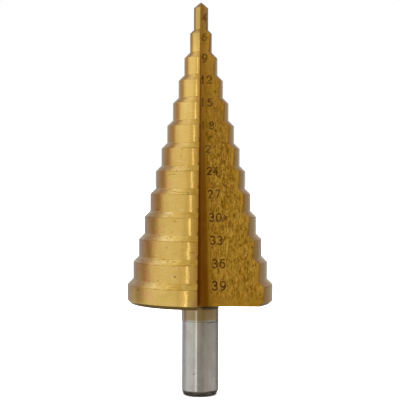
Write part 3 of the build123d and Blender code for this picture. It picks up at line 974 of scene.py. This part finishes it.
turn_m = Matrix.Rotation(VIEW, 4, "Z")
place = turn_m @ Vector((CAM_X, -CAM_D, CAM_Z))
fw = Vector((0, math.cos(PITCH_A), math.sin(PITCH_A)))
right = fw.cross(Vector((0, 0, 1))).normalized()
up = right.cross(fw)
cr = math.cos(ROLL) * right + math.sin(ROLL) * up
cu = -math.sin(ROLL) * right + math.cos(ROLL) * up
rot = Matrix((cr, cu, -fw)).transposed()
cam_data = bpy.data.cameras.new("camera")
camera = bpy.data.objects.new("camera", cam_data)
scene.collection.objects.link(camera)
camera.matrix_world = Matrix.Translation(place * MM) @ turn_m @ rot.to_4x4()
cam_data.sensor_fit = "HORIZONTAL"
cam_data.sensor_width = 36.0
cam_data.lens = FOCAL_PX / 400.0 * 36.0
cam_data.clip_start = 0.01
cam_data.clip_end = 20.0
scene.camera = camera

# ------------------------------------------------------------------ stage
fm = bpy.data.meshes.new("floor")
fm.from_pydata([(-3, -3, 0), (3, -3, 0), (3, 3, 0), (-3, 3, 0)], [], [(0, 1, 2, 3)])
floor = bpy.data.objects.new("floor", fm)
scene.collection.objects.link(floor)
paint = bpy.data.materials.new("floor_paint")
paint.use_nodes = True
b = paint.node_tree.nodes["Principled BSDF"]
b.inputs["Base Color"].default_value = (0.9, 0.9, 0.9, 1)
b.inputs["Roughness"].default_value = 0.9
b.inputs["Specular IOR Level"].default_value = 0.0
fm.materials.append(paint)
floor.visible_glossy = False


# ------------------------------------------------------------------ lights
def toward(az, el, dist):
    """A place at an azimuth round from the camera's direction (positive to the right), an elevation and a distance."""
    a = math.radians(az)
    v = Vector((math.sin(a) * math.cos(math.radians(el)), -math.cos(a) * math.cos(math.radians(el)), math.sin(math.radians(el))))
    return (turn_m.to_3x3() @ v) * dist + Vector((0, 0, 0.06))


def panel(name, az, el, dist, width, height, radiance, colour=(1, 1, 1)):
    data = bpy.data.lights.new(name, "AREA")
    data.shape = "RECTANGLE"
    data.size, data.size_y = width, height
    data.energy = radiance * width * height * math.pi
    data.color = colour
    o = bpy.data.objects.new(name, data)
    scene.collection.objects.link(o)
    o.location = toward(az, el, dist)
    o.rotation_euler = (Vector((0, 0, 0.06)) - o.location).to_track_quat("-Z", "Y").to_euler()
    o.visible_camera = False
    return o


strip = panel("strip_light", -21.8, 2.0, 1.0, 0.058, 0.9, 0.86, (0.95, 0.98, 1.15))
sun_data = bpy.data.lights.new("floor_wash", "SUN")
sun_data.energy = 7.0
sun_data.angle = math.radians(150)
sun = bpy.data.objects.new("floor_wash", sun_data)
scene.collection.objects.link(sun)
sun.visible_glossy = False         # lights the floor and leaves no reflection

world = bpy.data.worlds.new("studio")
scene.world = world
world.use_nodes = True
wn, wl = world.node_tree.nodes, world.node_tree.links
wn.clear()


def wmath(op, a, b=None, clamp=False):
    m = wn.new("ShaderNodeMath")
    m.operation = op
    m.use_clamp = clamp
    for k, v in enumerate((a, b)):
        if v is None:
            continue
        if isinstance(v, bpy.types.NodeSocket):
            wl.new(v, m.inputs[k])
        else:
            m.inputs[k].default_value = v
    return m.outputs[0]


def wramp(fac, stops):
    """A colour ramp over azimuth, in degrees from -180 to 180."""
    r = wn.new("ShaderNodeValToRGB")
    wl.new(fac, r.inputs[0])
    els = r.color_ramp.elements
    while len(els) > 1:
        els.remove(els[0])
    els[0].position = (stops[0][0] + 180) / 360
    els[0].color = (*stops[0][1], 1)
    for a, c in stops[1:]:
        e = els.new((a + 180) / 360)
        e.color = (*c, 1)
    return r.outputs[0]


def wspan(value, a, b, lo=0.0, hi=1.0):
    m = wn.new("ShaderNodeMapRange")
    m.interpolation_type = "SMOOTHSTEP"
    wl.new(value, m.inputs["Value"])
    for k, v in (("From Min", a), ("From Max", b), ("To Min", lo), ("To Max", hi)):
        m.inputs[k].default_value = v
    return m.outputs["Result"]


def wmix(fac, a, b, blend="MIX"):
    m = wn.new("ShaderNodeMix")
    m.data_type = "RGBA"
    m.blend_type = blend
    for s, v in ((m.inputs["Factor"], fac), (m.inputs["A"], a), (m.inputs["B"], b)):
        if isinstance(v, bpy.types.NodeSocket):
            wl.new(v, s)
        elif isinstance(v, tuple):
            s.default_value = (*v, 1.0)
        else:
            s.default_value = v
    return m.outputs["Result"]


tc = wn.new("ShaderNodeTexCoord")
rotn = wn.new("ShaderNodeVectorRotate")
rotn.rotation_type = "Z_AXIS"
rotn.inputs["Angle"].default_value = -VIEW
wl.new(tc.outputs["Generated"], rotn.inputs["Vector"])
sep = wn.new("ShaderNodeSeparateXYZ")
wl.new(rotn.outputs[0], sep.inputs[0])
azim = wmath("ARCTAN2", sep.outputs["X"], wmath("MULTIPLY", sep.outputs["Y"], -1.0))
azim = wmath("MULTIPLY_ADD", azim, 1.0)
azim.node.inputs[1].default_value = 1.0 / (2 * math.pi)
azim.node.inputs[2].default_value = 0.5
elev = wmath("MULTIPLY", wmath("ARCSINE", sep.outputs["Z"]), 180 / math.pi)

# Round the object at eye level: a large soft light on the left, a dim room in front and to the right, pale paper behind.
level_ring = wramp(azim, [
    (-180, (0.55, 0.56, 0.60)), (-160, (0.36, 0.38, 0.46)), (-148, (0.33, 0.34, 0.46)), (-136, (0.323, 0.313, 0.43)), (-122, (0.329, 0.268, 0.288)), (-112, (0.30, 0.217, 0.174)),
    (-104, (0.388, 0.293, 0.238)), (-94, (0.61, 0.555, 0.515)), (-86, (0.705, 0.68, 0.655)), (-80, (0.705, 0.69, 0.645)), (-72, (0.742, 0.745, 0.71)), (-60, (0.733, 0.73, 0.673)),
    (-48, (0.722, 0.712, 0.634)), (-36, (0.693, 0.66, 0.552)), (-30, (0.611, 0.57, 0.414)), (-25, (0.56, 0.51, 0.335)), (-14, (0.50, 0.437, 0.26)), (-7, (0.407, 0.304, 0.155)),
    (4, (0.37, 0.28, 0.15)), (16, (0.16, 0.10, 0.055)), (90, (0.14, 0.09, 0.055)), (114, (0.25, 0.20, 0.16)),
    (124, (0.29, 0.24, 0.225)), (132, (0.295, 0.265, 0.29)), (140, (0.31, 0.295, 0.36)), (150, (0.37, 0.375, 0.44)), (160, (0.42, 0.44, 0.52)), (180, (0.55, 0.56, 0.60))])
gain = wmath("MULTIPLY", wspan(elev, -3.0, 7.0, 1.0, 1.22), wspan(elev, 13.0, 25.0, 1.0, 0.82))
level_ring = wmix(1.0, level_ring, gain, "MULTIPLY")
band = wmath("MULTIPLY", wmath("MULTIPLY", wspan(azim, 0.5 - 134 / 360, 0.5 - 120 / 360), wspan(azim, 0.5 - 96 / 360, 0.5 - 106 / 360)), wspan(elev, -1.0, 5.0))
level_ring = wmix(wmath("MULTIPLY", band, 0.16), level_ring, (0.60, 0.56, 0.62))
rear = wmath("MULTIPLY", wspan(azim, 0.5 + 126 / 360, 0.5 + 146 / 360), wspan(elev, 5.5, 13.0))
level_ring = wmix(rear, level_ring, (0.82, 0.76, 0.75), "MULTIPLY")
rear_left = wmath("MULTIPLY", wspan(azim, 0.5 - 150 / 360, 0.5 - 162 / 360), wspan(elev, 5.5, 13.0))
level_ring = wmix(rear_left, level_ring, (0.90, 0.92, 0.93), "MULTIPLY")
side = wmath("MULTIPLY", wspan(azim, 0.5 + 2 / 360, 0.5 + 22 / 360), wspan(azim, 0.5 + 115 / 360, 0.5 + 95 / 360))
level_ring = wmix(wmath("MULTIPLY", side, wspan(elev, 7.5, 19.0)), level_ring, (0.36, 0.32, 0.24))
# A little below eye level: the pale table all round.
low_ring = wramp(azim, [
    (-180, (0.48, 0.48, 0.48)), (-150, (0.41, 0.41, 0.41)), (-130, (0.66, 0.66, 0.66)), (-116, (0.47, 0.475, 0.475)), (-104, (0.58, 0.58, 0.59)), (-85, (0.79, 0.80, 0.82)), (-56, (0.735, 0.745, 0.73)),
    (-40, (0.69, 0.70, 0.68)), (-32.5, (0.64, 0.65, 0.62)), (-30.5, (1.0, 1.0, 0.96)), (-22.5, (1.0, 1.0, 0.96)), (-20.5, (0.55, 0.55, 0.53)), (-8, (0.41, 0.41, 0.39)),
    (10, (0.385, 0.368, 0.338)), (28, (0.455, 0.425, 0.39)), (58, (0.66, 0.64, 0.61)), (92, (0.72, 0.71, 0.69)), (110, (0.60, 0.59, 0.60)), (122, (0.185, 0.18, 0.175)), (136, (0.33, 0.33, 0.325)), (150, (0.33, 0.33, 0.325)), (180, (0.48, 0.48, 0.48))])
colour = wmix(wspan(elev, -5.0, -9.0), level_ring, low_ring)
colour = wmix(wspan(elev, -16.0, -34.0), colour, (0.27, 0.252, 0.220))
# Overhead: a soft light behind and to the left, falling off towards straight up.
above = wramp(azim, [(-180, (0.38, 0.36, 0.40)), (-160, (0.41, 0.38, 0.46)), (-154, (0.41, 0.36, 0.44)), (-148, (0.396, 0.314, 0.34)), (-142, (0.37, 0.24, 0.21)), (-136, (0.50, 0.40, 0.34)), (-130, (0.72, 0.70, 0.68)),
                     (-124, (0.86, 0.87, 0.92)), (-118, (0.87, 0.89, 0.90)), (-112, (0.83, 0.82, 0.79)), (-106, (0.79, 0.76, 0.58)), (-98, (0.78, 0.74, 0.48)), (-80, (0.70, 0.65, 0.46)),
                     (-20, (0.45, 0.42, 0.36)), (60, (0.34, 0.30, 0.26)), (140, (0.33, 0.23, 0.21)), (150, (0.32, 0.19, 0.16)), (158, (0.31, 0.21, 0.23)), (180, (0.38, 0.36, 0.40))])
zenith = wmix(wspan(elev, 88.0, 64.0), (0.44, 0.36, 0.135), above)
colour = wmix(wspan(elev, 16.0, 44.0), colour, zenith)
env = wn.new("ShaderNodeBackground")
wl.new(colour, env.inputs[0])
white = wn.new("ShaderNodeBackground")
white.inputs[0].default_value = (1, 1, 1, 1)
lp = wn.new("ShaderNodeLightPath")
mix = wn.new("ShaderNodeMixShader")
out = wn.new("ShaderNodeOutputWorld")
wl.new(lp.outputs["Is Camera Ray"], mix.inputs[0])
wl.new(env.outputs[0], mix.inputs[1])
wl.new(white.outputs[0], mix.inputs[2])
wl.new(mix.outputs[0], out.inputs[0])

scene.view_settings.view_transform = "Standard"
scene.view_settings.look = "None"
